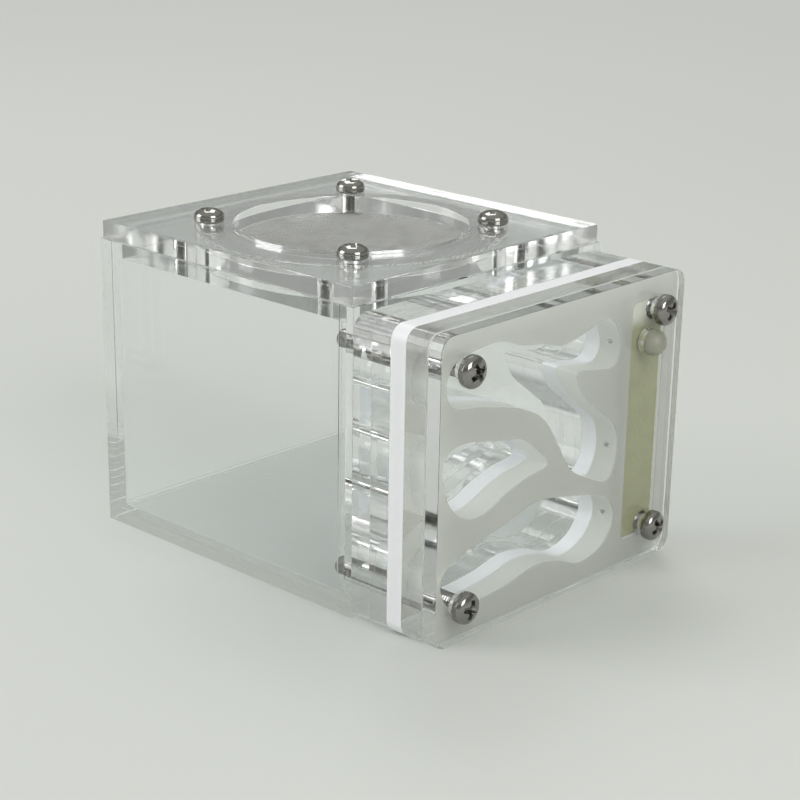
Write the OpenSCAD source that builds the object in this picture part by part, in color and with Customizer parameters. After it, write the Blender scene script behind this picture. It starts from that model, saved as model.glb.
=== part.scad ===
// Ant habitat: a clear foraging box with a lift-off vented lid, and a flat
// nest of stacked sheets screwed to the outside of its front wall.
// Millimetres. +Z is up, the nest faces -Y, and the origin is the centre of
// the box's footprint on the surface it stands on.

/* [Foraging box] */
// Outside width of the box, left to right
box_w = 60; // [52:1:90]
// Outside depth of the box, front to back
box_d = 60; // [52:1:90]
// Height of the walls above the table
box_h = 51; // [48:1:70]
// Thickness of the box walls
wall_t = 3; // [2:0.5:4]
// Thickness of the box floor
floor_t = 3; // [2:0.5:5]
// Glue line between two box sheets
glue_line = 0.04; // [0.02:0.01:0.1]
// Diameter of the ants' doorway through the front wall
doorway_d = 8; // [5:0.5:9]

/* [Lid] */
// Thickness of the lid's top plate
lid_t = 3; // [2:0.5:5]
// Distance that the top plate stays back from the side walls' outer faces
lid_side_inset = 0.25; // [0:0.25:1]
// Distance that the top plate stays back from the front and back walls' outer faces
lid_end_inset = 0.5; // [0:0.25:1]
// Thickness of the plate that locates the lid between the walls
locating_t = 3; // [2:0.5:5]
// Play between the locating plate and the inside of the walls
locating_play = 0.4; // [0.3:0.1:1]
// Distance that the mesh stays back from the locating plate's nearest edges
mesh_back = 0.3; // [0:0.1:3]
// Width of the ring of mesh that is clamped round the vent hole
mesh_lap = 6.3; // [5.5:0.1:10]
// Thickness of the mesh, over two crossing wires
mesh_t = 0.35; // [0.25:0.05:0.5]
// Spacing of the gaps in the mesh
mesh_pitch = 2.6; // [2.6:0.1:4]
// Width of a strand of the mesh
mesh_strand = 0.7; // [0.4:0.1:1.2]
// Depth of the saw teeth on the mesh's cut edge
mesh_ragged = 0.3; // [0.1:0.1:0.5]
// Distance from the vent's edge to the centres of the lid screws
lid_screw_land = 4; // [3.3:0.1:4.2]

/* [Nest sheets] */
// Distance that the nest's top edge stays below the box walls
nest_drop = 1; // [0:0.5:4]
// Corner radius of the nest sheets
nest_corner_r = 2.5; // [0.5:0.5:4]
// Thickness of the clear sheet against the box
base_sheet_t = 3.8; // [2:0.2:6]
// Thickness of the second clear sheet
rear_sheet_t = 3.8; // [2:0.2:6]
// Thickness of the milk-white sheet
white_sheet_t = 3; // [2:0.2:6]
// Thickness of the clear sheet that holds the water slot
chamber_sheet_t = 4.2; // [3:0.2:6]
// Thickness of the frosted film
film_t = 0.2; // [0.1:0.05:0.4]
// Distance that the film stays back from the nest's edges
film_inset = 0.5; // [0:0.25:1.5]
// Thickness of the window sheet
cover_t = 2.6; // [2:0.2:5]
// Air film between two sheets that are screwed together
air_film = 0.04; // [0.02:0.01:0.1]

/* [Nest chambers] */
// Land left at each side of the nest
side_land = 2.4; // [2:0.1:5]
// Land left under and over the chambers
end_land = 3.6; // [3:0.1:6]
// Web between the chambers and the water slot
slot_web = 2.2; // [1.5:0.1:4]
// Width of the hidden gallery that links the three chambers
gallery_w = 5; // [3:0.5:6]
// Diameter of the drillings that let damp air through the web
damp_hole_d = 1; // [0.6:0.1:1.6]

/* [Water slot] */
// Width of the water slot
slot_w = 9; // [7:0.5:10]
// Land outside the water slot
slot_side_land = 3.2; // [2:0.1:5]
// Land at each end of the water slot
slot_end_land = 4.2; // [3:0.1:6]
// Radius of the water slot's corners
slot_corner_r = 1.5; // [0.5:0.25:2.5]
// Open gap beside the sponge
sponge_gap = 0.3; // [0.2:0.1:1.5]
// Play round the other faces of the sponge
sponge_play = 0.2; // [0.1:0.05:0.4]
// Diameter of the filling hole in the window sheet
fill_hole_d = 4; // [3.5:0.1:5]
// Height left between the plug's rim and the screw head above it
fill_hole_drop = 0.3; // [0:0.1:12]
// Distance from the slot's middle to the filling hole, towards the chambers
fill_hole_shift = 0.7; // [0:0.1:1.5]

/* [Water plug] */
// Radial play of the plug's stem in the filling hole
plug_play = 0.1; // [0.05:0.01:0.15]
// Width of the plug's rim outside the filling hole
plug_rim = 0.2; // [0.15:0.05:0.3]
// Height of the plug's rim, below its dome
plug_rim_h = 0.8; // [0.2:0.1:1]
// Height of the dome on the plug
plug_dome_h = 1.8; // [0.2:0.1:1.8]
// Distance that the plug's stem stops short of the window's inner face
plug_short = 0.3; // [0.1:0.1:0.8]

/* [Screws] */
// Diameter of the screws
screw_d = 3; // [2:0.5:3]
// Radial play of a screw in a sheet
screw_play = 0.1; // [0.05:0.05:0.2]
// Radial play of a screw in its tapped hole
thread_play = 0.05; // [0.02:0.01:0.1]
// Diameter of a screw head
head_d = 5.2; // [4.5:0.1:6]
// Height of a screw head
head_h = 2.3; // [2:0.1:2.6]
// Height of the straight edge of a screw head, below its round shoulder
head_edge_h = 0.9; // [0.5:0.1:1.2]
// Radius of the dome on a screw head
head_dome_r = 4.5; // [4:0.1:6]
// Length of the cross recess
cross_l = 3.4; // [1.8:0.1:3.6]
// Width of an arm of the cross recess
cross_w = 0.8; // [0.4:0.05:1]
// Depth of the cross recess
cross_depth = 1.3; // [0.6:0.1:1.3]
// Length of thread that shows under the locating plate
lid_tail = 0.3; // [0:0.1:2]
// Length of thread that shows inside the box
nest_tail = 4; // [0.5:0.1:8]
// Chamfer on a screw's tip
tip_chamfer = 0.4; // [0.2:0.1:0.6]
// Distance from the nest's side edges to the nest screws
nest_screw_side = 6; // [5.6:0.1:7]
// Distance from the nest's top and bottom edges to the nest screws
nest_screw_end = 6; // [5.6:0.1:7]

/* [Hidden] */

$fn = 64;
eps = 1; // how far a cutting tool runs past a face

// Box
inner_w = box_w - 2 * wall_t;
inner_d = box_d - 2 * wall_t;
wall_bottom = floor_t + glue_line;
wall_h = box_h - wall_bottom;

// Lid, from the walls' top edges
lid_w = box_w - 2 * lid_side_inset;
lid_d = box_d - 2 * lid_end_inset;
lid_bottom = box_h + air_film;
mesh_top = lid_bottom - air_film;
locating_top = mesh_top - mesh_t - air_film;
locating_bottom = locating_top - locating_t;
locating_w = inner_w - 2 * locating_play;
locating_d = inner_d - 2 * locating_play;
mesh_r = min(locating_w, locating_d) / 2 - mesh_back;
mesh_cells = floor(mesh_r / mesh_pitch);
mesh_teeth = 120;
vent_r = mesh_r - mesh_lap;
lid_screw_r = vent_r + lid_screw_land;

// Nest
nest_w = box_w;
nest_h = box_h - nest_drop;
base_back = -box_d / 2 - air_film;
rear_back = base_back - base_sheet_t - air_film;
white_back = rear_back - rear_sheet_t - air_film;
chamber_back = white_back - white_sheet_t - air_film;
film_back = chamber_back - chamber_sheet_t - air_film;
window_back = film_back - film_t - air_film;
window_front = window_back - cover_t;
nest_screw_x = nest_w / 2 - nest_screw_side;
nest_screw_z = [nest_screw_end, nest_h - nest_screw_end];
wall_inner_y = -inner_d / 2;

// Water slot and filling hole
slot_right = nest_w / 2 - slot_side_land;
slot_left = slot_right - slot_w;
slot_bottom = slot_end_land;
slot_top = nest_h - slot_end_land;
slot_middle = (slot_left + slot_right) / 2;
plug_rim_r = fill_hole_d / 2 + plug_rim;
fill_hole_at = [
    slot_middle - fill_hole_shift,
    nest_screw_z[1] - head_d / 2 - fill_hole_drop - plug_rim_r
];

// The chambers' outlines are drawn on a square field, which is stretched over
// the land between the left edge and the water slot
drawn_size = 100;
field_left = -nest_w / 2 + side_land;
field_w = slot_left - slot_web - field_left;
field_bottom = end_land;
field_h = nest_h - 2 * end_land;
loop_steps = 4; // straight runs between two points of an outline

// Long upper chamber that bends round a nose and drops down the right side
upper_chamber = [
    [1, 86], [2, 93], [8, 98], [27, 100], [40, 96], [52, 94], [64, 91], [76, 93],
    [87, 96], [95, 93], [99, 83], [95, 76], [84, 77], [73, 78], [78, 68], [89, 59],
    [98, 51], [100, 40], [95, 30], [83, 34], [71, 41], [63, 53], [54, 65],
    [41, 72], [22, 77], [6, 80]
];
// Drop-shaped chamber at the middle of the left side
middle_chamber = [
    [0, 59], [4, 65], [13, 66], [27, 63], [42, 60], [52, 53], [58, 46],
    [46, 44], [35, 41], [22, 36], [11, 38], [3, 46]
];
// Long lower chamber
lower_chamber = [
    [0, 15], [4, 21], [15, 25], [34, 29], [52, 33], [71, 30], [87, 26], [97, 21],
    [100, 12], [93, 3], [80, 0], [66, 5], [52, 7], [36, 4], [15, 3], [4, 6]
];
// Ends of the hidden gallery, which runs straight up
gallery_x = 24;
gallery_ends = [16, 88];
// The doorway opens into the lower chamber
doorway_at = [64, 18];
// The drillings to the water slot start near the chambers' right edge, at
// these heights
damp_hole_start = 94;
damp_hole_heights = [14, 42, 84];

function field_point(p) = [
    field_left + p[0] * field_w / drawn_size,
    field_bottom + p[1] * field_h / drawn_size
];

// One point of the smooth curve from b to c, with a and d as its neighbours
function curve_point(a, b, c, d, t) =
    0.5 * (2 * b + (c - a) * t + (2 * a - 5 * b + 4 * c - d) * t * t
    + (3 * b - 3 * c + d - a) * t * t * t);

function smooth_loop(points) = let (n = len(points)) [
    for (i = [0 : n - 1], s = [0 : loop_steps - 1])
        curve_point(
            points[i], points[(i + 1) % n], points[(i + 2) % n], points[(i + 3) % n],
            s / loop_steps
        )
];

function field_loop(points) = smooth_loop([for (p = points) field_point(p)]);

module rounded_outline(w, h, r) {
    union() {
        translate([-w / 2 + r, 0]) square([w - 2 * r, h]);
        translate([-w / 2, r]) square([w, h - 2 * r]);
        for (x = [-w / 2 + r, w / 2 - r], y = [r, h - r]) {
            translate([x, y]) circle(r);
        }
    }
}

// A sheet that stands up, with its back face at y = back
module standing_sheet(back, thickness) {
    translate([0, back, 0]) rotate([90, 0, 0]) linear_extrude(thickness) children();
}

module nest_outline(inset = 0) {
    translate([0, inset]) {
        rounded_outline(nest_w - 2 * inset, nest_h - 2 * inset, nest_corner_r - inset / 2);
    }
}

module nest_screw_holes() {
    for (x = [-nest_screw_x, nest_screw_x], z = nest_screw_z) {
        translate([x, z]) circle(screw_d / 2 + screw_play);
    }
}

module chamber_outlines() {
    polygon(field_loop(upper_chamber));
    polygon(field_loop(middle_chamber));
    polygon(field_loop(lower_chamber));
}

module slot_outline() {
    translate([slot_middle, slot_bottom]) {
        rounded_outline(slot_w, slot_top - slot_bottom, slot_corner_r);
    }
}

// Holes for the nest screws, through the box's front wall or the sponge
module nest_screw_bores(back, thickness, play) {
    for (x = [-nest_screw_x, nest_screw_x], z = nest_screw_z) {
        translate([x, back + eps, z]) rotate([90, 0, 0]) {
            cylinder(r = screw_d / 2 + play, h = thickness + 2 * eps);
        }
    }
}

module box_floor() {
    color([0.86, 0.93, 0.93, 0.4]) {
        translate([-box_w / 2, -box_d / 2, 0]) cube([box_w, box_d, floor_t]);
    }
}

module end_wall(y) {
    translate([-box_w / 2, y, wall_bottom]) cube([box_w, wall_t, wall_h]);
}

module box_front_wall() {
    doorway = field_point(doorway_at);
    color([0.86, 0.93, 0.93, 0.4]) difference() {
        end_wall(-box_d / 2);
        nest_screw_bores(wall_inner_y, wall_t, thread_play);
        translate([doorway[0], wall_inner_y + eps, doorway[1]]) rotate([90, 0, 0]) {
            cylinder(d = doorway_d, h = wall_t + 2 * eps);
        }
    }
}

module box_back_wall() {
    color([0.86, 0.93, 0.93, 0.4]) end_wall(box_d / 2 - wall_t);
}

module side_wall(x) {
    length = inner_d - 2 * glue_line;
    translate([x, -length / 2, wall_bottom]) cube([wall_t, length, wall_h]);
}

module box_left_wall() {
    color([0.86, 0.93, 0.93, 0.4]) side_wall(-box_w / 2);
}

module box_right_wall() {
    color([0.86, 0.93, 0.93, 0.4]) side_wall(box_w / 2 - wall_t);
}

// Repeats its children at the four lid screws
module at_lid_screws() {
    for (a = [45 : 90 : 315]) {
        rotate([0, 0, a]) translate([lid_screw_r, 0, 0]) rotate([0, 0, -a]) children();
    }
}

module lid_plate(w, d, bottom, thickness, play) {
    translate([0, 0, bottom]) difference() {
        translate([-w / 2, -d / 2, 0]) cube([w, d, thickness]);
        translate([0, 0, -eps]) cylinder(r = vent_r, h = thickness + 2 * eps, $fn = 96);
        at_lid_screws() {
            translate([0, 0, -eps]) cylinder(r = screw_d / 2 + play, h = thickness + 2 * eps);
        }
    }
}

module lid_top_plate() {
    color([0.88, 0.95, 0.95, 0.4]) lid_plate(lid_w, lid_d, lid_bottom, lid_t, screw_play);
}

module lid_locating_plate() {
    color([0.88, 0.95, 0.95, 0.4]) {
        lid_plate(locating_w, locating_d, locating_bottom, locating_t, thread_play);
    }
}

// Woven disc with a saw-toothed cut edge, drawn with fewer and wider gaps than
// the weave has
module vent_mesh() {
    gap = mesh_pitch - mesh_strand;
    whole_r = mesh_r - mesh_ragged - mesh_strand;
    color([0.72, 0.73, 0.74]) translate([0, 0, mesh_top - mesh_t]) linear_extrude(mesh_t) {
        difference() {
            polygon([
                for (i = [0 : 2 * mesh_teeth - 1])
                    let (r = mesh_r - (i % 2) * mesh_ragged, a = i * 180 / mesh_teeth)
                        [r * cos(a), r * sin(a)]
            ]);
            for (i = [-mesh_cells : mesh_cells], j = [-mesh_cells : mesh_cells]) {
                x = i * mesh_pitch;
                y = j * mesh_pitch;
                corner_r = norm([abs(x) + gap / 2, abs(y) + gap / 2]);
                near_screw = norm([abs(x) - lid_screw_r / sqrt(2), abs(y) - lid_screw_r / sqrt(2)]);
                if (corner_r < whole_r && near_screw > screw_d / 2 + screw_play + mesh_pitch) {
                    translate([x, y]) square(gap, center = true);
                }
            }
            at_lid_screws() circle(screw_d / 2 + screw_play);
        }
    }
}

// Pan-head screw: the head stands on z = 0 and the shank runs down
module pan_screw(length) {
    difference() {
        union() {
            intersection() {
                cylinder(d = head_d, h = head_h);
                sphere(r = norm([head_d / 2, head_edge_h]));
                translate([0, 0, head_h - head_dome_r]) sphere(r = head_dome_r);
            }
            translate([0, 0, -length + tip_chamfer]) cylinder(d = screw_d, h = length - tip_chamfer);
            translate([0, 0, -length]) {
                cylinder(d1 = screw_d - 2 * tip_chamfer, d2 = screw_d, h = tip_chamfer);
            }
        }
        for (a = [0, 90]) {
            rotate([0, 0, a]) translate([-cross_l / 2, -cross_w / 2, head_h - cross_depth]) {
                cube([cross_l, cross_w, cross_depth + eps]);
            }
        }
    }
}

// Lid screws: clear of the top plate, and tapped into the locating plate
module lid_screws() {
    head_bottom = lid_bottom + lid_t + air_film;
    color([0.75, 0.76, 0.77]) at_lid_screws() {
        translate([0, 0, head_bottom]) pan_screw(head_bottom - locating_bottom + lid_tail);
    }
}

module nest_sheet(back, thickness) {
    standing_sheet(back, thickness) difference() {
        nest_outline();
        chamber_outlines();
        nest_screw_holes();
    }
}

module nest_base_sheet() {
    low = field_point([gallery_x, gallery_ends[0]]);
    high = field_point([gallery_x, gallery_ends[1]]);
    color([0.84, 0.92, 0.92, 0.4]) difference() {
        nest_sheet(base_back, base_sheet_t);
        translate([low[0] - gallery_w / 2, base_back - base_sheet_t - eps, low[1]]) {
            cube([gallery_w, base_sheet_t + 2 * eps, high[1] - low[1]]);
        }
    }
}

module nest_rear_sheet() {
    color([0.84, 0.92, 0.92, 0.4]) nest_sheet(rear_back, rear_sheet_t);
}

module nest_white_sheet() {
    color([0.88, 0.88, 0.9]) nest_sheet(white_back, white_sheet_t);
}

module nest_chamber_sheet() {
    color([0.84, 0.92, 0.92, 0.4]) difference() {
        standing_sheet(chamber_back, chamber_sheet_t) difference() {
            nest_outline();
            chamber_outlines();
            slot_outline();
            nest_screw_holes();
        }
        for (height = damp_hole_heights) {
            start = field_point([damp_hole_start, height]);
            translate([start[0], chamber_back - chamber_sheet_t / 2, start[1]]) rotate([0, 90, 0]) {
                cylinder(d = damp_hole_d, h = slot_left + eps - start[0], $fn = 24);
            }
        }
    }
}

module nest_frosted_film() {
    color([0.67, 0.67, 0.61]) standing_sheet(film_back, film_t) difference() {
        nest_outline(film_inset);
        chamber_outlines();
        slot_outline();
        nest_screw_holes();
    }
}

module nest_window() {
    color([0.9, 0.95, 0.95, 0.3]) standing_sheet(window_back, cover_t) difference() {
        nest_outline();
        nest_screw_holes();
        translate(fill_hole_at) circle(d = fill_hole_d);
    }
}

module moisture_sponge() {
    width = slot_w - sponge_play - sponge_gap;
    bottom = slot_bottom + sponge_play;
    depth = chamber_sheet_t - 2 * sponge_play;
    back = chamber_back - sponge_play;
    color([0.56, 0.57, 0.41]) difference() {
        standing_sheet(back, depth) translate([slot_left + sponge_play + width / 2, bottom]) {
            rounded_outline(width, slot_top - sponge_play - bottom, slot_corner_r);
        }
        nest_screw_bores(back, depth, screw_play + sponge_play);
    }
}

// Soft plug: stem in the filling hole, and a domed rim outside
module water_plug() {
    stem_r = fill_hole_d / 2 - plug_play;
    dome_r = (plug_rim_r * plug_rim_r + plug_dome_h * plug_dome_h) / (2 * plug_dome_h);
    rim_and_dome_h = plug_rim_h + plug_dome_h;
    stem_l = cover_t - plug_short + air_film;
    color([0.85, 0.86, 0.83]) {
        translate([fill_hole_at[0], window_front - air_film, fill_hole_at[1]]) rotate([90, 0, 0]) {
            union() {
                translate([0, 0, -stem_l]) cylinder(r = stem_r, h = stem_l);
                intersection() {
                    cylinder(r = plug_rim_r, h = rim_and_dome_h);
                    translate([0, 0, rim_and_dome_h - dome_r]) sphere(r = dome_r);
                }
            }
        }
    }
}

// Nest screws: clear of the sheets, and tapped into the box's front wall
module nest_screws() {
    head_back = window_front - air_film;
    color([0.75, 0.76, 0.77]) for (x = [-nest_screw_x, nest_screw_x], z = nest_screw_z) {
        translate([x, head_back, z]) rotate([90, 0, 0]) {
            pan_screw(wall_inner_y + nest_tail - head_back);
        }
    }
}

box_floor();
box_front_wall();
box_back_wall();
box_left_wall();
box_right_wall();
lid_top_plate();
lid_locating_plate();
vent_mesh();
lid_screws();
nest_base_sheet();
nest_rear_sheet();
nest_white_sheet();
nest_chamber_sheet();
nest_frosted_film();
nest_window();
moisture_sponge();
water_plug();
nest_screws();
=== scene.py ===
"""Looks of a small ant habitat: a clear acrylic box with a vented lid, and a nest of stacked
sheets screwed to its front. The frame gives sizes and places, and the finishes are made here."""

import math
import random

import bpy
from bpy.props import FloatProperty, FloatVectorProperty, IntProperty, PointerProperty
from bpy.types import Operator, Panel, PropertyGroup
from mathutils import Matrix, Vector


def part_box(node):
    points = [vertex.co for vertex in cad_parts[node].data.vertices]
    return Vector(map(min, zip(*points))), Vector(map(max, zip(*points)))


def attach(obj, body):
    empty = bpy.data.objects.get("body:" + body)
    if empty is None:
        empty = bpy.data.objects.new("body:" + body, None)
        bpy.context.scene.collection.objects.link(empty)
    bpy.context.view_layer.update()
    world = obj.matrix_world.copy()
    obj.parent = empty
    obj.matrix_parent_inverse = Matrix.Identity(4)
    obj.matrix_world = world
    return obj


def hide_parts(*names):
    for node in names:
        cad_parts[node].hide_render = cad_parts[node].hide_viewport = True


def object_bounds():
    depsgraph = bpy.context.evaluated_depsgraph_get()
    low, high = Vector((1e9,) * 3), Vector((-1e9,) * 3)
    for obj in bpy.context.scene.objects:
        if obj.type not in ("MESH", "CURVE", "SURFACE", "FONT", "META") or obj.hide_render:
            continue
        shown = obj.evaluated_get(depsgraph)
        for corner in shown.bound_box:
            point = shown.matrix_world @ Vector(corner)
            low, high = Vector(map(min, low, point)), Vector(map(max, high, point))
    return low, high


bl_info = {
    "name": "Ant Habitat",
    "version": (1, 0, 0),
    "blender": (4, 5, 0),
    "location": "3D View > Sidebar > Ant Habitat",
    "description": "Models and finishes a clear ant habitat round its frame",
    "category": "Object",
}

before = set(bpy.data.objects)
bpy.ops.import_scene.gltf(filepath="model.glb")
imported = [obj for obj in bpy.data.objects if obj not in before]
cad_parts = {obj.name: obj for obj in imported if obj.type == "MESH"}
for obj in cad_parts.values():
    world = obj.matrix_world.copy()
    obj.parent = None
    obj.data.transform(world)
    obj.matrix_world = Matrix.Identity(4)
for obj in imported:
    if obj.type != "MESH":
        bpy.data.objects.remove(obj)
cad_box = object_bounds()

MM = 0.001
SAME_POINT = 0.002 * MM  # closer points of one mesh are the same point
OFF_RING = 0.003 * MM  # keeps a cut off a ring of points that it would graze
X_AXIS, Y_AXIS = Vector((1, 0, 0)), Vector((0, 1, 0))
ACRYLIC_IOR = 1.49
POLISHED = 0.2  # share of the laser's ridges that is left on the box's polished edges
SHEAR_SLOPE = 0.7  # slope of a mesh wire's cut end
WEAVE_SEED = 7  # for the wires' ragged ends

# Each clear sheet: its CAD node, its body, and the axis across its thickness
CLEAR_SHEETS = (
    ("box_floor", "box", "Z"),
    ("box_front_wall", "box", "Y"),
    ("box_back_wall", "box", "Y"),
    ("box_left_wall", "box", "X"),
    ("box_right_wall", "box", "X"),
    ("nest_base_sheet", "box", "Y"),
    ("nest_rear_sheet", "box", "Y"),
    ("nest_chamber_sheet", "box", "Y"),
    ("nest_window", "box", "Y"),
    ("lid_top_plate", "lid", "Z"),
    ("lid_locating_plate", "lid", "Z"),
)
# The sheets that solvent has welded into the box
WELDED_SHEETS = (
    "box_floor", "box_front_wall", "box_back_wall", "box_left_wall", "box_right_wall",
)
# How far each screw's cross is turned, in degrees, at its corner of the lid (x, y) or nest (x, z)
LID_TURNS = {(-1, -1): 48, (1, -1): 35, (1, 1): 60, (-1, 1): 40}
NEST_TURNS = {(-1, 1): 28, (1, 1): 62, (-1, -1): 75, (1, -1): 35}
# Each lamp: its place and size in metres, and its share of the key light's power
LAMPS = {
    "key_light": ((-0.65, 0.6, 0.42), 0.6, 1.0),
    "fill_light": ((-0.15, -0.8, 0.45), 0.5, 0.9),
    "rim_light": ((0.38, 0.42, 0.75), 0.35, 0.4),
}
# How bright the sky is against the floor, from the horizon at 0 to straight up at 1
SKY_LEVELS = ((0.0, 1.0), (0.08, 1.0), (0.2, 0.5), (0.4, 0.45), (0.65, 0.9), (1.0, 1.0))


def hex_colour(code):
    """An sRGB hex colour as the linear red, green and blue that a socket takes."""
    shares = [int(code[i : i + 2], 16) / 255 for i in (1, 3, 5)]
    return tuple(s / 12.92 if s <= 0.04045 else ((s + 0.055) / 1.055) ** 2.4 for s in shares)


def length(name, description, default_mm):
    """A length property, given in millimetres and kept in metres."""
    return FloatProperty(
        name=name, description=description, default=default_mm * MM,
        min=0, precision=5, unit="LENGTH",
    )


def colour(name, description, code):
    """A colour property, given as sRGB hex and kept linear."""
    return FloatVectorProperty(
        name=name, description=description, default=hex_colour(code), min=0, max=1, subtype="COLOR"
    )


class AcrylicSettings(PropertyGroup):
    """Cut edges and colours of the clear and milk-white sheets"""

    eased_edge: length("Eased edge", "Width that the cutting heat has rounded off each edge", 0.12)
    ridge_pitch: length("Ridge pitch", "Spacing of the laser's ridges on a cut edge", 0.35)
    ridge_height: length("Ridge height", "Height of the laser's ridges", 0.006)
    clear_tint: colour("Clear tint", "Tint of the clear sheets", "#FCFDFD")
    milled_tint: colour("Milled tint", "Colour that milled walls scatter", "#F8F8F4")
    opal_tint: colour("Opal tint", "Colour of the milk-white sheet", "#E9E9EC")


class FilmSettings(PropertyGroup):
    """Grain and colour of the frosted film"""

    frost: colour("Frost", "Colour of the frosted film", "#D2D1CA")
    grain: length("Grain", "Size of the frosting's grain", 0.25)


class MeshSettings(PropertyGroup):
    """Weave and colours of the vent mesh"""

    wire_w: length("Wire width", "Width of a wire, which rolling has flattened", 0.34)
    wire_h: length("Wire height", "Height of a wire", 0.17)
    wire_pitch: length("Wire pitch", "Distance between two wires", 0.65)
    ragged: length("Ragged edge", "Most that a cut wire falls short of the round edge", 0.45)
    turn: FloatProperty(
        name="Turn", description="Turn of the weave", default=math.radians(27), subtype="ANGLE"
    )
    steel: colour("Steel", "Colour of the wires", "#C4C4C2")
    # Near-white: partly fresh sheared metal, partly a painted glint on the wire ends
    end_glint_colour: colour("Fresh steel", "Colour of the wires' sheared ends", "#FAFAF8")


class ScrewSettings(PropertyGroup):
    """Thread, head and colour of the M3 screws"""

    thread_pitch: length("Thread pitch", "Pitch of the M3 thread", 0.5)
    thread_depth: length("Thread depth", "Depth of the thread", 0.3)
    screw_d: length("Screw diameter", "Diameter over the thread", 3.0)
    head_d: length("Head diameter", "Diameter of a pan head", 5.2)
    head_h: length("Head height", "Height of a pan head", 2.3)
    head_edge_h: length("Head edge", "Height of the straight edge of a head", 0.9)
    shoulder_r: length("Shoulder", "Radius between the edge and the dome of a head", 1.0)
    tip_chamfer: length("Tip chamfer", "Chamfer on a screw's tip", 0.4)
    cross_l: length("Cross length", "Length of the cross recess", 3.7)
    cross_w: length("Cross width", "Width of an arm of the cross recess", 1.0)
    cross_depth: length("Cross depth", "Depth of the cross recess", 1.5)
    turn_steps: IntProperty(
        name="Steps in a turn", description="Straight runs in one turn of the thread",
        default=20, min=8,
    )
    # Partly the steel's own colour, darkened as painted shade for the dark surroundings it reflects
    steel: colour("Steel", "Colour of the screws", "#9C9A96")


class SpongeSettings(PropertyGroup):
    """Pores and colours of the sponge"""

    pore: length("Pore size", "Size of the sponge's pores", 0.9)
    pore_depth: length("Pore depth", "Depth of the sponge's pores", 0.14)
    facet: length("Facet", "Size of the faces that carry the pores", 0.3)
    damp: colour("Damp sponge", "Colour of the sponge where it is wet", "#9A9B74")
    dry: colour("Dry sponge", "Colour of the sponge's dry top end", "#D8D8CC")
    dry_end: length("Dry end", "Length of the sponge's dry top end", 5.0)


class PlugSettings(PropertyGroup):
    """Edges and colour of the silicone plug"""

    silicone: colour("Silicone", "Colour of the silicone", "#B9BAAB")
    soft_edge: length("Soft edge", "Roundness of the plug's edges", 0.06)


class StageSettings(PropertyGroup):
    """Floor, camera and key light"""

    floor: colour("Floor", "Colour of the floor and the backdrop", "#CFD1CD")
    camera_place: FloatVectorProperty(
        name="Camera place",
        description="Where the camera stands",
        default=(-233.9 * MM, -229.0 * MM, 131.9 * MM),
        subtype="TRANSLATION",
        unit="LENGTH",
    )
    camera_yaw: FloatProperty(
        name="Camera yaw", description="Turn to the right of +Y",
        default=math.radians(47.16), subtype="ANGLE",
    )
    camera_pitch: FloatProperty(
        name="Camera pitch", description="Tilt downwards",
        default=math.radians(19.65), subtype="ANGLE",
    )
    camera_roll: FloatProperty(
        name="Camera roll", description="Lean of the camera",
        default=math.radians(1.02), subtype="ANGLE",
    )
    lens: FloatProperty(name="Lens", description="Focal length in mm", default=88.9, min=10)
    rise: FloatProperty(name="Rise", description="Upward shift of the frame", default=0.05)
    key_power: FloatProperty(
        name="Key light", description="Power of the key light", default=4.2, unit="POWER"
    )


SETTINGS = {
    "habitat_acrylic": AcrylicSettings,
    "habitat_film": FilmSettings,
    "habitat_mesh": MeshSettings,
    "habitat_screws": ScrewSettings,
    "habitat_sponge": SpongeSettings,
    "habitat_plug": PlugSettings,
    "habitat_stage": StageSettings,
}


# Materials


def add_node(tree, kind, values=None, links=None, **attributes):
    """Adds a node with its settings, its sockets' values and the links into its sockets."""
    node = tree.nodes.new(kind)
    for name, value in attributes.items():
        setattr(node, name, value)
    for socket, value in (values or {}).items():
        node.inputs[socket].default_value = value
    for socket, source in (links or {}).items():
        tree.links.new(source, node.inputs[socket])
    return node


def new_material(name):
    """An empty node material, and its tree."""
    material = bpy.data.materials.new(name)
    material.use_nodes = True
    material.node_tree.nodes.clear()
    return material, material.node_tree


def close_material(tree, shader):
    """Joins the shader to the material's output."""
    add_node(tree, "ShaderNodeOutputMaterial", links={"Surface": shader})


def let_lamps_through(tree, glass, tint):
    """Clear glass that doesn't hold back the lamps or the light that matt things send out."""
    path = add_node(tree, "ShaderNodeLightPath")
    open_ray = add_node(
        tree, "ShaderNodeMath", operation="MAXIMUM",
        links={0: path.outputs["Is Shadow Ray"], 1: path.outputs["Is Diffuse Ray"]},
    )
    clear = add_node(tree, "ShaderNodeBsdfTransparent", {"Color": tint})
    return add_node(
        tree, "ShaderNodeMixShader",
        links={0: open_ray.outputs[0], 1: glass.outputs[0], 2: clear.outputs[0]},
    )


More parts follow.
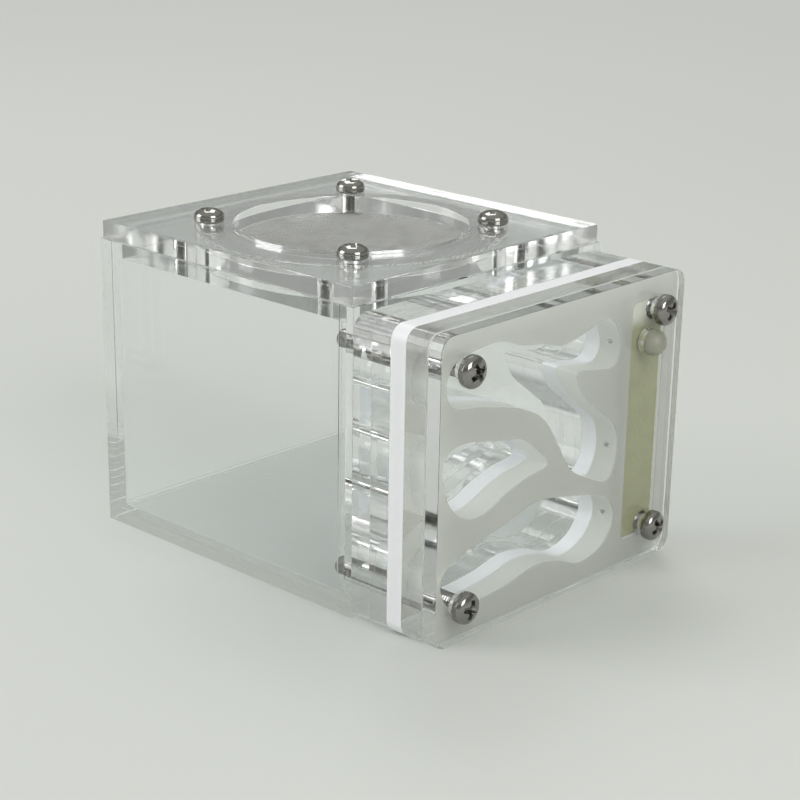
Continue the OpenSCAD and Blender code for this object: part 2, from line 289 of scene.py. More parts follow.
def laser_ridges(tree, settings, across, share=1.0):
    """The ridges that a laser leaves on a cut edge, which run across the sheet's thickness,
    and a mask that is 1 on the cut edges and 0 on the sheet's faces."""
    place = add_node(tree, "ShaderNodeTexCoord").outputs["Object"]
    slow = 0.04  # share of the ridges' pitch along their own length
    per_metre = 1 / settings.ridge_pitch
    scale = [per_metre * (slow if axis == across else 1) for axis in "XYZ"]
    stretched = add_node(
        tree, "ShaderNodeMapping", {"Scale": scale}, {"Vector": place}
    ).outputs[0]
    ridges = add_node(
        tree, "ShaderNodeTexNoise", {"Scale": 1.0, "Detail": 2.0}, {"Vector": stretched}
    )
    normal = add_node(tree, "ShaderNodeNewGeometry").outputs["True Normal"]
    parts = add_node(tree, "ShaderNodeSeparateXYZ", links={0: normal})
    facing = add_node(
        tree, "ShaderNodeMath", operation="ABSOLUTE", links={0: parts.outputs[across]}
    )
    mask = add_node(tree, "ShaderNodeMath", {0: 1.0}, {1: facing.outputs[0]}, operation="SUBTRACT")
    height = add_node(
        tree, "ShaderNodeMath", operation="MULTIPLY",
        links={0: ridges.outputs["Fac"], 1: mask.outputs[0]},
    )
    bump = add_node(
        tree, "ShaderNodeBump", {"Strength": 1.0, "Distance": share * settings.ridge_height},
        {"Height": height.outputs[0]},
    )
    return bump.outputs[0], mask.outputs[0]


def wetted_front(tree, glass):
    """Glass whose face towards -Y is wetted by the film's adhesive: light inside the sheet reaches
    the film there, and isn't turned back."""
    geometry = add_node(tree, "ShaderNodeNewGeometry")
    parts = add_node(tree, "ShaderNodeSeparateXYZ", links={0: geometry.outputs["True Normal"]})
    # Seen from inside the sheet, the normal of this face is turned round to +Y
    front = add_node(
        tree, "ShaderNodeMath", {1: 0.9}, {0: parts.outputs["Y"]}, operation="GREATER_THAN"
    )
    wet = add_node(
        tree, "ShaderNodeMath", operation="MULTIPLY",
        links={0: front.outputs[0], 1: geometry.outputs["Backfacing"]},
    )
    clear = add_node(tree, "ShaderNodeBsdfTransparent")
    return add_node(
        tree, "ShaderNodeMixShader",
        links={0: wet.outputs[0], 1: glass.outputs[0], 2: clear.outputs[0]},
    )


def clear_acrylic(settings, across, film_in_front=False, ridges=1.0):
    """Cast acrylic sheet, laser cut. The faces are glossy and water clear, and the cut edges carry
    fine ridges that break up what shows through them. Polishing leaves a share of the ridges."""
    name = "cast_acrylic_cut_across_" + across.lower()
    if film_in_front:
        name = "cast_acrylic_under_film"
    elif ridges < 1:
        name = name.replace("cut", "polished")
    material, tree = new_material(name)
    bump, mask = laser_ridges(tree, settings, across, ridges)
    edge_dull = 0.07 * ridges  # roughness of the cut edges
    dull = add_node(tree, "ShaderNodeMath", {1: edge_dull}, {0: mask}, operation="MULTIPLY")
    tint = (*settings.clear_tint, 1)
    glass = add_node(
        tree, "ShaderNodeBsdfPrincipled",
        {"Base Color": tint, "IOR": ACRYLIC_IOR, "Transmission Weight": 1.0},
        {"Normal": bump, "Roughness": dull.outputs[0]},
    )
    if film_in_front:
        glass = wetted_front(tree, glass)
    close_material(tree, let_lamps_through(tree, glass, tint).outputs[0])
    return material


def welded_joint():
    """Solvent weld. It melts two acrylic sheets into one, so light goes straight through it."""
    material, tree = new_material("solvent_welded_acrylic")
    close_material(tree, add_node(tree, "ShaderNodeBsdfTransparent").outputs[0])
    return material


def milled_acrylic(settings):
    """The milled walls of the cut-outs in the sheet under the film. The cutter leaves them satin:
    light goes through but scatters, so they look whitish and soft."""
    scattered = 0.85  # share of the light that the wall scatters
    passed_on = 0.5  # share of the scattered light that goes on through the wall
    material, tree = new_material("milled_acrylic")
    bump, _ = laser_ridges(tree, settings, "Y")
    tint = (*settings.clear_tint, 1)
    satin = add_node(
        tree, "ShaderNodeBsdfPrincipled",
        {"Base Color": tint, "IOR": ACRYLIC_IOR, "Transmission Weight": 1.0, "Roughness": 0.45},
        {"Normal": bump},
    )
    white = (*settings.milled_tint, 1)
    front = add_node(tree, "ShaderNodeBsdfDiffuse", {"Color": white}, {"Normal": bump})
    back = add_node(tree, "ShaderNodeBsdfTranslucent", {"Color": white}, {"Normal": bump})
    scatter = add_node(
        tree, "ShaderNodeMixShader", {0: passed_on}, {1: front.outputs[0], 2: back.outputs[0]}
    )
    wall = add_node(
        tree, "ShaderNodeMixShader", {0: scattered},
        {1: let_lamps_through(tree, satin, tint).outputs[0], 2: scatter.outputs[0]},
    )
    close_material(tree, wall.outputs[0])
    return material


def opal_acrylic(settings):
    """Milk-white cast acrylic. It is glossy on its faces, and light sinks a little way into its
    cut edges, so that they look soft and bright."""
    material, tree = new_material("opal_acrylic")
    bump, mask = laser_ridges(tree, settings, "Y")
    face_dull, edge_adds = 0.18, 0.25  # roughness of the faces, and what the cut edges add to it
    dull = add_node(
        tree, "ShaderNodeMath", {1: edge_adds, 2: face_dull}, {0: mask}, operation="MULTIPLY_ADD"
    )
    opal = add_node(
        tree, "ShaderNodeBsdfPrincipled",
        {
            "Base Color": (*settings.opal_tint, 1), "IOR": ACRYLIC_IOR,
            "Subsurface Weight": 0.3, "Subsurface Radius": (1, 1, 1), "Subsurface Scale": 0.8 * MM,
        },
        {"Normal": bump, "Roughness": dull.outputs[0]},
    )
    close_material(tree, opal.outputs[0])
    return material


def frosted_film(settings):
    """Etched polyester film. It scatters light both ways and shows a hint of what is behind."""
    passed_on = 0.5  # share of the scattered light that goes on through the film
    see_through = 0.5  # share of the light that isn't scattered
    material, tree = new_material("frosted_polyester_film")
    place = add_node(tree, "ShaderNodeTexCoord").outputs["Object"]
    grain = add_node(
        tree, "ShaderNodeTexNoise", {"Scale": 1 / settings.grain, "Detail": 3.0}, {"Vector": place}
    )
    bump = add_node(
        tree, "ShaderNodeBump", {"Strength": 0.3, "Distance": 0.01 * MM},
        {"Height": grain.outputs["Fac"]},
    )
    # Painted highlight: the film's cut edge is coloured white, whiter than its face
    normal = add_node(tree, "ShaderNodeNewGeometry").outputs["True Normal"]
    parts = add_node(tree, "ShaderNodeSeparateXYZ", links={0: normal})
    flat = add_node(tree, "ShaderNodeMath", operation="ABSOLUTE", links={0: parts.outputs["Y"]})
    tone = add_node(
        tree, "ShaderNodeMix", {6: (1, 1, 1, 1), 7: (*settings.frost, 1)}, {0: flat.outputs[0]},
        data_type="RGBA",
    ).outputs[2]
    face = add_node(
        tree, "ShaderNodeBsdfPrincipled", {"Roughness": 0.55, "IOR": 1.57},
        {"Base Color": tone, "Normal": bump.outputs[0]},
    )
    through = add_node(tree, "ShaderNodeBsdfTranslucent", links={"Color": tone})
    veil = add_node(
        tree, "ShaderNodeMixShader", {0: passed_on}, {1: face.outputs[0], 2: through.outputs[0]}
    )
    # What lies behind shows a little, and softer the further back it is
    blurred = add_node(
        tree, "ShaderNodeBsdfRefraction", {"Color": (1, 1, 1, 1), "IOR": 1.15, "Roughness": 0.16}
    )
    behind = let_lamps_through(tree, blurred, (1, 1, 1, 1))
    film = add_node(
        tree, "ShaderNodeMixShader", {0: see_through}, {1: veil.outputs[0], 2: behind.outputs[0]}
    )
    close_material(tree, film.outputs[0])
    return material


def brushed_metal(name, steel, roughness, patch, spread):
    """Stainless steel, with patches of duller and darker metal where it was handled or drawn.
    The roughness varies by spread either way."""
    material, tree = new_material(name)
    place = add_node(tree, "ShaderNodeTexCoord").outputs["Object"]
    patches = add_node(
        tree, "ShaderNodeTexNoise", {"Scale": 1 / patch, "Detail": 4.0}, {"Vector": place}
    ).outputs["Fac"]
    dull = add_node(
        tree, "ShaderNodeMapRange",
        {
            "From Min": 0.35, "From Max": 0.65,
            "To Min": roughness - spread, "To Max": roughness + spread,
        },
        {"Value": patches},
    )
    dark = [0.8 * c for c in steel]
    tone = add_node(
        tree, "ShaderNodeMix", {6: (*dark, 1), 7: (*steel, 1)}, {0: patches}, data_type="RGBA"
    )
    metal = add_node(
        tree, "ShaderNodeBsdfPrincipled", {"Metallic": 1.0},
        {"Base Color": tone.outputs[2], "Roughness": dull.outputs[0]},
    )
    close_material(tree, metal.outputs[0])
    return material


def painted_end_glint(settings):
    """The wires' sheared, torn ends: near-white, partly fresh metal and partly a painted glint."""
    material, tree = new_material("sheared_wire_painted_glint")
    place = add_node(tree, "ShaderNodeTexCoord").outputs["Object"]
    torn = add_node(
        tree, "ShaderNodeTexNoise", {"Scale": 1 / (0.15 * MM), "Detail": 2.0}, {"Vector": place}
    )
    bump = add_node(
        tree, "ShaderNodeBump", {"Strength": 0.5, "Distance": 0.03 * MM},
        {"Height": torn.outputs["Fac"]},
    )
    metal = add_node(
        tree, "ShaderNodeBsdfPrincipled",
        {"Base Color": (*settings.end_glint_colour, 1), "Metallic": 0.6, "Roughness": 0.45},
        {"Normal": bump.outputs[0]},
    )
    close_material(tree, metal.outputs[0])
    return material


def damp_sponge(settings):
    """Compressed cellulose sponge. It is matt and mottled, with small open pores, and its top end
    has dried to a paler tone."""
    material, tree = new_material("cellulose_sponge")
    place = add_node(tree, "ShaderNodeTexCoord").outputs["Object"]
    mottle = add_node(
        tree, "ShaderNodeTexNoise", {"Scale": 1 / (4 * MM), "Detail": 4.0}, {"Vector": place}
    ).outputs["Fac"]
    pores = add_node(
        tree, "ShaderNodeTexVoronoi", {"Scale": 1 / (0.5 * MM)}, {"Vector": place}
    ).outputs["Distance"]
    dark = [0.72 * c for c in settings.damp]
    wet = add_node(
        tree, "ShaderNodeMix", {6: (*dark, 1), 7: (*settings.damp, 1)}, {0: mottle},
        data_type="RGBA",
    )
    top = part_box("moisture_sponge")[1].z
    parts = add_node(tree, "ShaderNodeSeparateXYZ", links={0: place})
    dried = add_node(
        tree, "ShaderNodeMapRange",
        {"From Min": top - settings.dry_end, "From Max": top - 0.3 * settings.dry_end},
        {"Value": parts.outputs["Z"]}, interpolation_type="SMOOTHSTEP",
    )
    tone = add_node(
        tree, "ShaderNodeMix", {7: (*settings.dry, 1)}, {0: dried.outputs[0], 6: wet.outputs[2]},
        data_type="RGBA",
    )
    bump = add_node(
        tree, "ShaderNodeBump", {"Strength": 0.6, "Distance": 0.08 * MM}, {"Height": pores}
    )
    sponge = add_node(
        tree, "ShaderNodeBsdfPrincipled",
        {
            "Roughness": 0.85, "Subsurface Weight": 0.2,
            "Subsurface Radius": (1, 1, 0.7), "Subsurface Scale": 1 * MM,
        },
        {"Base Color": tone.outputs[2], "Normal": bump.outputs[0]},
    )
    close_material(tree, sponge.outputs[0])
    return material


def moulded_silicone(settings):
    """Moulded silicone rubber. It is cloudy, a little milky, and has a soft satin shine."""
    material, tree = new_material("moulded_silicone")
    place = add_node(tree, "ShaderNodeTexCoord").outputs["Object"]
    grain = add_node(
        tree, "ShaderNodeTexNoise", {"Scale": 1 / (0.4 * MM), "Detail": 2.0}, {"Vector": place}
    )
    bump = add_node(
        tree, "ShaderNodeBump", {"Strength": 0.4, "Distance": 0.01 * MM},
        {"Height": grain.outputs["Fac"]},
    )
    rubber = add_node(
        tree, "ShaderNodeBsdfPrincipled",
        {
            "Base Color": (*settings.silicone, 1), "Roughness": 0.32, "IOR": 1.41,
            "Transmission Weight": 0.55, "Subsurface Weight": 0.5, "Subsurface Scale": 1 * MM,
        },
        {"Normal": bump.outputs[0]},
    )
    close_material(tree, rubber.outputs[0])
    return material


# Modelling


def select_only(obj):
    """Selects one object and nothing else."""
    bpy.ops.object.select_all(action="DESELECT")
    obj.select_set(True)
    bpy.context.view_layer.objects.active = obj


def open_faces(obj, chosen=None):
    """Opens edit mode with all faces selected, or only those that chosen names."""
    select_only(obj)
    bpy.ops.object.mode_set(mode="EDIT")
    bpy.ops.mesh.select_mode(type="FACE")
    bpy.ops.mesh.select_all(action="SELECT" if chosen is None else "DESELECT")
    if chosen is not None:
        bpy.ops.object.mode_set(mode="OBJECT")
        for face in obj.data.polygons:
            face.select = chosen(face)
        bpy.ops.object.mode_set(mode="EDIT")


def close_edit():
    """Goes back to object mode."""
    bpy.ops.object.mode_set(mode="OBJECT")


def apply_modifier(obj, kind, **attributes):
    """Adds a modifier with its settings and applies it."""
    select_only(obj)
    modifier = obj.modifiers.new(kind, kind)
    for name, value in attributes.items():
        setattr(modifier, name, value)
    bpy.ops.object.modifier_apply(modifier=modifier.name)


def cut_with(obj, tool, operation):
    """Joins, cuts or trims obj with a tool, which is used up."""
    apply_modifier(obj, "BOOLEAN", object=tool, operation=operation, solver="MANIFOLD")
    bpy.data.objects.remove(tool)


def apply_place(obj):
    """Puts the object's place, turn and scale into its mesh."""
    select_only(obj)
    bpy.ops.object.transform_apply(location=True, rotation=True, scale=True)


def own_copy(obj, matrix):
    """A copy with its own mesh, moved by the matrix."""
    twin = obj.copy()
    twin.data = obj.data.copy()
    twin.data.transform(matrix)
    bpy.context.scene.collection.objects.link(twin)
    return twin


def joined(objects):
    """One object made of several."""
    bpy.ops.object.select_all(action="DESELECT")
    for obj in objects:
        obj.select_set(True)
    bpy.context.view_layer.objects.active = objects[0]
    bpy.ops.object.join()
    return objects[0]


def finish_piece(obj, name, body, material, node):
    """Names a finished piece, gives it its material and body, and hides the node it stands for."""
    apply_place(obj)
    obj.name = name
    obj.data.name = name
    obj.data.materials.clear()
    obj.data.materials.append(material)
    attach(obj, body)
    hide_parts(node)


def node_copy(node):
    """A CAD node's mesh as a new object, with its loose triangles merged and its flats joined."""
    obj = bpy.data.objects.new(node + "_copy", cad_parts[node].data.copy())
    bpy.context.scene.collection.objects.link(obj)
    select_only(obj)
    bpy.ops.mesh.customdata_custom_splitnormals_clear()
    open_faces(obj)
    bpy.ops.mesh.remove_doubles(threshold=SAME_POINT)
    bpy.ops.mesh.dissolve_limited(angle_limit=math.radians(0.5))
    close_edit()
    return obj


def eased_sheet(node, width, seams=()):
    """A copy of a CAD sheet whose cut edges are rounded a little, with its faces split at seams."""
    obj = node_copy(node)
    for place, along in seams:
        open_faces(obj)
        bpy.ops.mesh.bisect(plane_co=place * along, plane_no=along)
        close_edit()
    apply_modifier(
        obj, "BEVEL", width=width, segments=2, limit_method="ANGLE", angle_limit=math.radians(50)
    )
    bpy.ops.object.shade_smooth_by_angle(angle=math.radians(50))
    apply_modifier(obj, "WEIGHTED_NORMAL", mode="FACE_AREA", weight=100, keep_sharp=True)
    return obj


# Pieces


def weld_seams(node):
    """Where the faces of a sheet of the box are split, so that each part is welded or free."""
    x_seams = [(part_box("box_left_wall")[1].x, X_AXIS), (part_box("box_right_wall")[0].x, X_AXIS)]
    y_seams = [(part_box("box_front_wall")[1].y, Y_AXIS), (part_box("box_back_wall")[0].y, Y_AXIS)]
    seams = {
        "box_floor": x_seams + y_seams,
        "box_front_wall": x_seams,
        "box_back_wall": x_seams,
    }
    return seams.get(node, ())


def weld(sheet, node, material):
    """Gives the weld's material to the faces that lie right against another sheet of the box."""
    sheet.data.materials.append(material)
    reach = 0.1 * MM  # further than the gap between two welded sheets
    others = [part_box(other) for other in WELDED_SHEETS if other != node]
    for face in sheet.data.polygons:
        beyond = face.center + reach * face.normal
        if any(all(low[i] < beyond[i] < high[i] for i in range(3)) for low, high in others):
            face.material_index = 1


def mill(sheet, node, material):
    """Gives the milled walls' material to the sides of a sheet's cut-outs."""
    sheet.data.materials.append(material)
    low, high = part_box(node)
    rim = 1 * MM  # no cut-out comes as near to the outside as this
    for face in sheet.data.polygons:
        x, _, z = face.center
        inside = low.x + rim < x < high.x - rim and low.z + rim < z < high.z - rim
        if inside and abs(face.normal.y) < 0.5:
            face.material_index = 1


class HABITAT_OT_clear_sheets(Operator):
    """Ease the edges of the box's, lid's and nest's clear sheets and make them cast acrylic"""

    bl_idname = "habitat.clear_sheets"
    bl_label = "Clear Sheets"

    def execute(self, context):
        settings = context.scene.habitat_acrylic
        cut = {axis: clear_acrylic(settings, axis) for axis in "YZ"}
        polished = {axis: clear_acrylic(settings, axis, ridges=POLISHED) for axis in "XYZ"}
        under_film = clear_acrylic(settings, "Y", film_in_front=True)
        joint = welded_joint()
        milled = milled_acrylic(settings)
        for node, body, across in CLEAR_SHEETS:
            welded, filmed = node in WELDED_SHEETS, node == "nest_chamber_sheet"
            if welded:
                material = polished[across]
            else:
                material = under_film if filmed else cut[across]
            sheet = eased_sheet(node, settings.eased_edge, weld_seams(node))
            finish_piece(sheet, node + "_eased", body, material, node)
            if welded:
                weld(sheet, node, joint)
            elif filmed:
                mill(sheet, node, milled)
        return {"FINISHED"}


class HABITAT_OT_white_sheet(Operator):
    """Ease the edges of the nest's milk-white sheet and make it opal acrylic"""

    bl_idname = "habitat.white_sheet"
    bl_label = "White Sheet"

    def execute(self, context):
        settings = context.scene.habitat_acrylic
        sheet = eased_sheet("nest_white_sheet", settings.eased_edge)
        finish_piece(
            sheet, "nest_white_sheet_eased", "box",
            opal_acrylic(settings), "nest_white_sheet",
        )
        return {"FINISHED"}


class HABITAT_OT_film(Operator):
    """Give the film on the chamber sheet its frosted finish"""

    bl_idname = "habitat.film"
    bl_label = "Frosted Film"

    def execute(self, context):
        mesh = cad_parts["nest_frosted_film"].data
        mesh.materials.clear()
        mesh.materials.append(frosted_film(context.scene.habitat_film))
        return {"FINISHED"}


def wavy_wire(settings, cells):
    """A long wire along X, in 2 * cells waves, that goes over one crossing wire and under the
    next."""
    pitch = settings.wire_pitch
    wave = settings.wire_h / 2
    bpy.ops.object.select_all(action="DESELECT")
    bpy.ops.mesh.primitive_circle_add(
        vertices=4, radius=wave, location=(-2 * pitch * cells, 0, wave),
        rotation=(0, math.pi / 2, 0),
    )
    wire = bpy.context.object
    wire.scale.y = settings.wire_w / settings.wire_h
    apply_place(wire)
    bpy.ops.object.mode_set(mode="EDIT")
    bpy.ops.mesh.select_mode(type="EDGE")
    bpy.ops.mesh.select_all(action="SELECT")
    for rise in (-wave, -wave, wave, wave):
        bpy.ops.mesh.extrude_region_move(TRANSFORM_OT_translate={"value": (pitch / 2, 0, rise)})
    close_edit()
    apply_modifier(
        wire, "ARRAY", count=2 * cells, use_relative_offset=False,
        use_constant_offset=True, constant_offset_displace=(2 * pitch, 0, 0),
        use_merge_vertices=True, merge_threshold=SAME_POINT,
    )
    return wire


def cut_wire(wire, half, offset, shift, up):
    """A wire of the weave, moved along and aside, that runs as far each way as half says. The
    shears cut each end to a slope that looks upwards, where up is 1 for a wire that lies face up
    and -1 for one that will be turned over."""
    twin = own_copy(wire, Matrix.Translation((shift, offset, 0)))
    open_faces(twin)
    for side, end in zip((-1, 1), half):
        bpy.ops.mesh.select_all(action="SELECT")
        bpy.ops.mesh.bisect(
            plane_co=(side * end, 0, 0), plane_no=(side, 0, SHEAR_SLOPE * up),
            use_fill=True, clear_outer=True,
        )
    close_edit()
    return twin


def paint_end_glints(weave, settings, radius):
    """Gives the painted glint to the cut ends round the mesh that look up and out."""
    weave.data.materials.append(painted_end_glint(settings))
    inner = radius - settings.ragged - 2 * settings.wire_h
    for face in weave.data.polygons:
        out = Vector((face.center.x, face.center.y, 0))
        looks_out = face.normal.z > 0.3 and face.normal.dot(out.normalized()) > 0.4
        if out.length > inner and looks_out:
            face.material_index = 1


class HABITAT_OT_vent_mesh(Operator):
    """Weave the round vent mesh from crossing wires with ragged cut ends"""

    bl_idname = "habitat.vent_mesh"
    bl_label = "Vent Mesh"

    def execute(self, context):
        settings = context.scene.habitat_mesh
        low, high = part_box("vent_mesh")
        radius = (high.x - low.x) / 2
        pitch = settings.wire_pitch
        wire = wavy_wire(settings, math.ceil(radius / (2 * pitch)) + 1)
        chance = random.Random(WEAVE_SEED)
        rows = int(radius / pitch)
        turned_over = Matrix.Rotation(math.pi, 4, "X") @ Matrix.Rotation(math.pi / 2, 4, "Z")
        ways = []
        for turn, up in ((Matrix.Identity(4), 1), (turned_over, -1)):
            wires = []
            for row in range(-rows, rows + 1):
                offset = row * pitch
                chord = math.sqrt(max(radius**2 - offset**2, pitch**2)) - settings.wire_h
                half = [chord - chance.uniform(0, settings.ragged) for _ in range(2)]
                wires.append(cut_wire(wire, half, offset, (row % 2) * pitch, up))
            way = joined(wires)
            way.data.transform(turn)
            ways.append(way)
        bpy.data.objects.remove(wire)
        weave = joined(ways)
        middle = Matrix.Translation((0, 0, (low.z + high.z) / 2))
        weave.data.transform(middle @ Matrix.Rotation(settings.turn, 4, "Z"))
        open_faces(weave)
        bpy.ops.mesh.normals_make_consistent(inside=False)
        close_edit()
        steel = brushed_metal(
            "woven_stainless_wire", settings.steel, roughness=0.36, patch=2.5 * MM, spread=0.08
        )
        finish_piece(weave, "vent_mesh_weave", "lid", steel, "vent_mesh")
        # The cut ends round the rim get a painted glint
        paint_end_glints(weave, settings, radius)
        return {"FINISHED"}


def open_line(points):
    """An object that is a line of edges through the points, left in edit mode and selected."""
    bpy.ops.object.select_all(action="DESELECT")
    bpy.ops.mesh.primitive_circle_add(vertices=len(points), radius=1 * MM)
    line = bpy.context.object
    # The circle's points move to their places, and the edge that closes it goes
    for vertex, place in zip(line.data.vertices, points):
        vertex.co = place
    bpy.ops.object.mode_set(mode="EDIT")
    bpy.ops.mesh.select_mode(type="EDGE")
    bpy.ops.mesh.select_all(action="DESELECT")
    close_edit()
    for edge in line.data.edges:
        edge.select = set(edge.vertices) == {0, len(points) - 1}
    bpy.ops.object.mode_set(mode="EDIT")
    bpy.ops.mesh.delete(type="EDGE")
    bpy.ops.mesh.select_all(action="SELECT")
    return line


def arc(centre, radius, start, end, steps):
    """Points on an arc in a head's profile, as (out, up). Its angles count from straight up."""
    angles = [start + (end - start) * i / steps for i in range(steps + 1)]
    return [(centre[0] + radius * math.sin(a), centre[1] + radius * math.cos(a)) for a in angles]


def cut_cross(head, settings):
    """Cuts the cross recess: two tapered wedges that cross, and a cone in the middle."""
    above = 0.4 * MM  # how far the wedges stand out of the head
    taper_l, taper_w = 0.62, 0.7  # the wedge's bottom, as shares of its length and width
    depth = settings.cross_depth + above
    bottom = settings.head_h - settings.cross_depth
    for turn, taper in ((0, (taper_l, taper_w, 1)), (math.pi / 2, (taper_w, taper_l, 1))):
        bpy.ops.object.select_all(action="DESELECT")
        bpy.ops.mesh.primitive_cube_add(
            size=1, location=(0, 0, bottom + depth / 2), rotation=(0, 0, turn),
            scale=(settings.cross_l, settings.cross_w, depth),
        )
        wedge = bpy.context.object
        apply_place(wedge)
        open_faces(wedge, lambda face: face.normal.z < -0.9)
        bpy.ops.transform.resize(value=taper, center_override=(0, 0, bottom))
        close_edit()
        cut_with(head, wedge, "DIFFERENCE")
    bpy.ops.object.select_all(action="DESELECT")
    cone_r = 0.28 * settings.cross_l
    cone_h = settings.cross_depth * 1.6  # its point goes deeper than the wedges
    cone_z = settings.head_h - settings.cross_depth * 0.6
    bpy.ops.mesh.primitive_cone_add(
        vertices=16, radius1=cone_r, radius2=0, depth=cone_h, location=(0, 0, cone_z),
        rotation=(math.pi, 0, 0),
    )
    cone = bpy.context.object
    apply_place(cone)
    cut_with(head, cone, "DIFFERENCE")


def pan_head(settings):
    """A pan head that stands on z = 0, with a cross recess. Its straight edge, round shoulder and
    low dome run into each other without a crease."""
    radius, shoulder = settings.head_d / 2, settings.shoulder_r
    ease = 0.35 * MM  # roundness of the edge that the head stands on
    rise = settings.head_h - settings.head_edge_h
    dome_r = ((radius - shoulder) ** 2 + rise**2 - shoulder**2) / (2 * (rise - shoulder))
    meet = math.asin((radius - shoulder) / (dome_r - shoulder))
    down, outward = math.pi, math.pi / 2
    profile = [(0, 0)]
    profile += arc((radius - ease, ease), ease, down, outward, 4)
    profile += arc((radius - shoulder, settings.head_edge_h), shoulder, outward, meet, 8)
    profile += arc((0, settings.head_h - dome_r), dome_r, meet, 0, 8)[1:]
    head = open_line([(out, 0, height) for out, height in profile])
    bpy.ops.mesh.spin(steps=64, angle=2 * math.pi, center=(0, 0, 0), axis=(0, 0, 1))
    bpy.ops.mesh.select_all(action="SELECT")
    bpy.ops.mesh.remove_doubles(threshold=SAME_POINT)
    bpy.ops.mesh.normals_make_consistent(inside=False)
    close_edit()
    cut_cross(head, settings)
    apply_modifier(
        head, "BEVEL", width=0.05 * MM, segments=2, limit_method="ANGLE",
        angle_limit=math.radians(35),
    )
    return head


def threaded_shank(settings, reach):
    """A right-hand threaded rod from z = -reach up into the head, with a chamfered tip."""
    pitch = settings.thread_pitch
    radius = settings.screw_d / 2
    root = radius - settings.thread_depth
    into_head = 0.3 * MM
    spare_turns = 5  # take the thread past both of its cut ends
    bottom = -reach - 2 * pitch
    rod = open_line([(root, 0, bottom), (radius, 0, bottom + pitch / 2), (root, 0, bottom + pitch)])
    close_edit()
    apply_modifier(
        rod, "SCREW", axis="Z", angle=2 * math.pi, screw_offset=pitch,
        iterations=math.ceil(reach / pitch) + spare_turns,
        steps=settings.turn_steps, render_steps=settings.turn_steps,
    )
    open_faces(rod)
    bpy.ops.mesh.remove_doubles(threshold=SAME_POINT)
    for height, side in ((-reach + OFF_RING, -1), (into_head, 1)):
        bpy.ops.mesh.select_all(action="SELECT")
        bpy.ops.mesh.bisect(
            plane_co=(0, 0, height), plane_no=(0, 0, side), use_fill=True, clear_outer=True
        )
    bpy.ops.mesh.select_all(action="SELECT")
    bpy.ops.mesh.remove_doubles(threshold=SAME_POINT / 10)
    bpy.ops.mesh.normals_make_consistent(inside=False)
    close_edit()
    # A blank with a chamfered end, a hair wider than the thread, trims the rod's tip
    blank_h = reach + 1 * MM
    bpy.ops.object.select_all(action="DESELECT")
    bpy.ops.mesh.primitive_cylinder_add(
        vertices=40, radius=radius + 0.01 * MM, depth=blank_h, location=(0, 0, blank_h / 2 - reach)
    )
    blank = bpy.context.object
    apply_place(blank)
    open_faces(blank, lambda face: face.normal.z < -0.9)
    bpy.ops.mesh.bevel(offset=settings.tip_chamfer, segments=1, affect="EDGES")
    close_edit()
    cut_with(rod, blank, "INTERSECT")
    return rod


def screw_set(settings, reach, places):
    """Pan-head screws, one at each place, joined in one piece. Each head stands on z = 0 of its
    place and the threaded shank runs down from there."""
    screw = pan_head(settings)
    cut_with(screw, threaded_shank(settings, reach), "UNION")
    select_only(screw)
    bpy.ops.object.shade_smooth_by_angle(angle=math.radians(32))
    copies = [own_copy(screw, place) for place in places]
    bpy.data.objects.remove(screw)
    return joined(copies)


def cross_turn(degrees):
    """The turn of a screw's cross about its own axis."""
    return Matrix.Rotation(math.radians(degrees), 4, "Z")


class HABITAT_OT_lid_screws(Operator):
    """Turn the four lid screws: domed heads with a cross recess and a real thread"""

    bl_idname = "habitat.lid_screws"
    bl_label = "Lid Screws"

    def execute(self, context):
        settings = context.scene.habitat_screws
        low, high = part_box("lid_screws")
        seat = high.z - settings.head_h
        side = high.x - settings.head_d / 2
        places = [
            Matrix.Translation((x * side, y * side, seat)) @ cross_turn(turn)
            for (x, y), turn in LID_TURNS.items()
        ]
        screws = screw_set(settings, seat - low.z, places)
        # The screws' steel colour carries painted shade, a darker reflection
        steel = brushed_metal(
            "turned_stainless_steel", settings.steel, roughness=0.1, patch=1.6 * MM, spread=0.04
        )
        finish_piece(screws, "lid_screws_threaded", "lid", steel, "lid_screws")
        return {"FINISHED"}


class HABITAT_OT_nest_screws(Operator):
    """Turn the four long nest screws, in the lid screws' steel: their tips show inside the box"""

    bl_idname = "habitat.nest_screws"
    bl_label = "Nest Screws"

    def execute(self, context):
        settings = context.scene.habitat_screws
        low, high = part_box("nest_screws")
        seat = low.y + settings.head_h
        head_r = settings.head_d / 2
        side = high.x - head_r
        heights = {-1: low.z + head_r, 1: high.z - head_r}
        level = Matrix.Rotation(math.pi / 2, 4, "X")
        places = [
            Matrix.Translation((x * side, seat, heights[z])) @ level @ cross_turn(turn)
            for (x, z), turn in NEST_TURNS.items()
        ]
        screws = screw_set(settings, high.y - seat, places)
        steel = bpy.data.materials["turned_stainless_steel"]
        finish_piece(
            screws, "nest_screws_threaded", "box", steel, "nest_screws"
        )
        return {"FINISHED"}


class HABITAT_OT_sponge(Operator):
    """Press the sponge strip: soft edges and small open pores"""

    bl_idname = "habitat.sponge"
    bl_label = "Moisture Sponge"

    def execute(self, context):
        settings = context.scene.habitat_sponge
        sponge = node_copy("moisture_sponge")
        apply_modifier(sponge, "REMESH", mode="VOXEL", voxel_size=settings.facet)
        pores = bpy.data.textures.new("sponge_pores", "VORONOI")
        pores.noise_scale = settings.pore
        apply_modifier(
            sponge, "DISPLACE", texture=pores, texture_coords="LOCAL",
            strength=-settings.pore_depth, mid_level=0,
        )
        apply_modifier(sponge, "SMOOTH", factor=0.5, iterations=2)
        bpy.ops.object.shade_smooth()
        finish_piece(
            sponge, "moisture_sponge_strip", "box",
            damp_sponge(settings), "moisture_sponge",
        )
        return {"FINISHED"}


